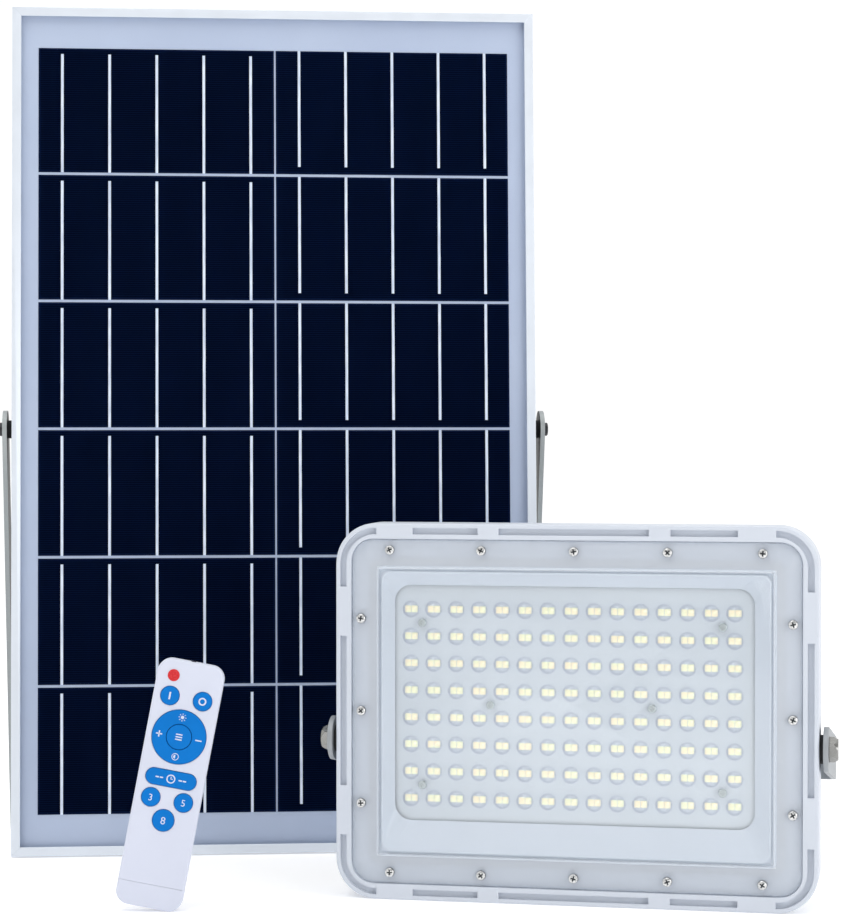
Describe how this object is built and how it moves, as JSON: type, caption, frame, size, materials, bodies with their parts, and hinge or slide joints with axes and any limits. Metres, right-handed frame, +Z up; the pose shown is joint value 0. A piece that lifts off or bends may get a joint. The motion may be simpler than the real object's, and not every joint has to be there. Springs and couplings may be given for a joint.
{
  "type": "solar flood light",
  "caption": "Flood lamp with a grid of lensed LEDs, framed solar panel on a U-bracket, and hand-held remote with round keys, set out together",
  "frame": {"origin": "middle of the kit's footprint, on the floor", "axes": "+Z up; -Y is the side the panel, the lamp and the remote face; +X to the right seen from that side; the panel's width lies along X"},
  "size_m": [0.5276, 0.3588, 0.564],
  "materials": {
    "frame_aluminium": "satin anodised extrusion",
    "key_aluminium": "bare casting",
    "panel_glass": "clear tempered glass",
    "solar_ribbon": "bright tinned copper",
    "solar_cell": "dark blue silicon with fine lines",
    "backsheet": "pale sheet",
    "black_metal": "black coated steel",
    "black_rubber": "black rubber",
    "nut_zinc": "zinc plated",
    "junction_plastic": "fine textured black plastic",
    "small_screw": "zinc plated",
    "circuit_board": "green solder mask",
    "bracket_grey": "pale grey powder coat",
    "housing_white": "satin white moulding",
    "gasket_grey": "pale silicone",
    "cover_clear": "clear moulded plastic",
    "screw_chrome": "bright stainless",
    "tray_white": "white reflector",
    "lens_clear": "clear lens plastic",
    "led_yellow": "pale yellow phosphor",
    "led_board_white": "white coated board",
    "battery_wrap": "blue shrink wrap",
    "cradle_black": "black plastic",
    "component_dark": "dark components",
    "gland_black": "black nylon",
    "bolt_steel": "plain stainless",
    "remote_white": "satin white plastic",
    "key_blue": "blue rubber keys",
    "indicator_red": "red lens",
    "dome_steel": "bright steel",
    "infrared_dark": "dark clear plastic"
  },
  "bodies": {
    "panel": {"panel_rail_bottom": "frame_aluminium", "panel_rail_top": "frame_aluminium", "panel_rail_left": "frame_aluminium", "panel_rail_right": "frame_aluminium", "panel_corner_keys": "key_aluminium", "panel_glass": "panel_glass", "panel_ribbons": "solar_ribbon", "panel_cells": "solar_cell", "panel_backsheet": "backsheet", "panel_pivot_bolts": "black_metal", "panel_pivot_washers": "black_rubber", "panel_pivot_nuts": "nut_zinc", "junction_box": "junction_plastic", "junction_box_lid": "junction_plastic", "junction_box_screws": "small_screw", "junction_terminals": "circuit_board", "junction_glands": "junction_plastic"},
    "panel_bracket": {"panel_bracket": "bracket_grey"},
    "lamp": {"lamp_housing": "housing_white", "lamp_gasket": "gasket_grey", "lamp_cover": "cover_clear", "lamp_cover_screws": "screw_chrome", "lamp_tray": "tray_white", "lamp_lens_plate": "lens_clear", "lamp_led_chips": "led_yellow", "lamp_led_board": "led_board_white", "lamp_lens_screws": "small_screw", "lamp_batteries": "battery_wrap", "lamp_battery_cradle": "cradle_black", "lamp_controller_board": "circuit_board", "lamp_controller_parts": "component_dark", "lamp_remote_receiver": "circuit_board", "lamp_cable_gland": "gland_black", "lamp_pivot_bolts": "bolt_steel", "lamp_pivot_washers": "black_rubber"},
    "lamp_bracket": {"lamp_bracket": "bracket_grey"},
    "remote": {"remote_front_shell": "remote_white", "remote_back_shell": "remote_white", "remote_board": "circuit_board", "remote_contact_domes": "dome_steel", "remote_indicator": "indicator_red", "remote_infrared_led": "infrared_dark"},
    "remote_drawer": {"remote_drawer": "remote_white", "remote_coin_cell": "dome_steel"},
    "remote_key_ring": {"remote_key_ring": "key_blue"},
    "remote_key_auto": {"remote_key_auto": "key_blue"},
    "remote_key_on": {"remote_key_on": "key_blue"},
    "remote_key_off": {"remote_key_off": "key_blue"},
    "remote_key_mode": {"remote_key_mode": "key_blue"},
    "remote_key_short": {"remote_key_short": "key_blue"},
    "remote_key_medium": {"remote_key_medium": "key_blue"},
    "remote_key_long": {"remote_key_long": "key_blue"}
  },
  "joints": [
    {"name": "panel_tilt", "type": "hinge", "parent": "panel", "child": "panel_bracket", "pos_m": [-0.07941, 0.09445, 0.2818], "axis": [1, 0, 0], "range_deg": [-18.2, 161.8]},
    {"name": "lamp_lift", "type": "slide", "parent": "panel", "child": "lamp", "axis": [0, 0, 1], "range_m": [0, 0.3]},
    {"name": "lamp_tilt", "type": "hinge", "parent": "lamp", "child": "lamp_bracket", "pos_m": [0.09198, -0.12407, 0.0953], "axis": [0.9583, -0.2857, 0], "range_deg": [-110, 68]},
    {"name": "remote_lift", "type": "slide", "parent": "panel", "child": "remote", "axis": [0, 0, 1], "range_m": [0, 0.15]},
    {"name": "drawer_slide", "type": "slide", "parent": "remote", "child": "remote_drawer", "axis": [-0.1866, 0.0167, -0.9823], "range_m": [0, 0.035]},
    {"name": "press_ring", "type": "slide", "parent": "remote", "child": "remote_key_ring", "axis": [0.0889, 0.996, 0], "range_m": [0, 0.0005], "stiffness_N_per_m": 900, "springref_m": -0.0003},
    {"name": "press_auto", "type": "slide", "parent": "remote", "child": "remote_key_auto", "axis": [0.0889, 0.996, 0], "range_m": [0, 0.0005], "stiffness_N_per_m": 900, "springref_m": -0.0003},
    {"name": "press_on", "type": "slide", "parent": "remote", "child": "remote_key_on", "axis": [0.0889, 0.996, 0], "range_m": [0, 0.0005], "stiffness_N_per_m": 900, "springref_m": -0.0003},
    {"name": "press_off", "type": "slide", "parent": "remote", "child": "remote_key_off", "axis": [0.0889, 0.996, 0], "range_m": [0, 0.0005], "stiffness_N_per_m": 900, "springref_m": -0.0003},
    {"name": "press_mode", "type": "slide", "parent": "remote", "child": "remote_key_mode", "axis": [0.0889, 0.996, 0], "range_m": [0, 0.0005], "stiffness_N_per_m": 900, "springref_m": -0.0003},
    {"name": "press_short", "type": "slide", "parent": "remote", "child": "remote_key_short", "axis": [0.0889, 0.996, 0], "range_m": [0, 0.0005], "stiffness_N_per_m": 900, "springref_m": -0.0003},
    {"name": "press_medium", "type": "slide", "parent": "remote", "child": "remote_key_medium", "axis": [0.0889, 0.996, 0], "range_m": [0, 0.0005], "stiffness_N_per_m": 900, "springref_m": -0.0003},
    {"name": "press_long", "type": "slide", "parent": "remote", "child": "remote_key_long", "axis": [0.0889, 0.996, 0], "range_m": [0, 0.0005], "stiffness_N_per_m": 900, "springref_m": -0.0003}
  ]
}
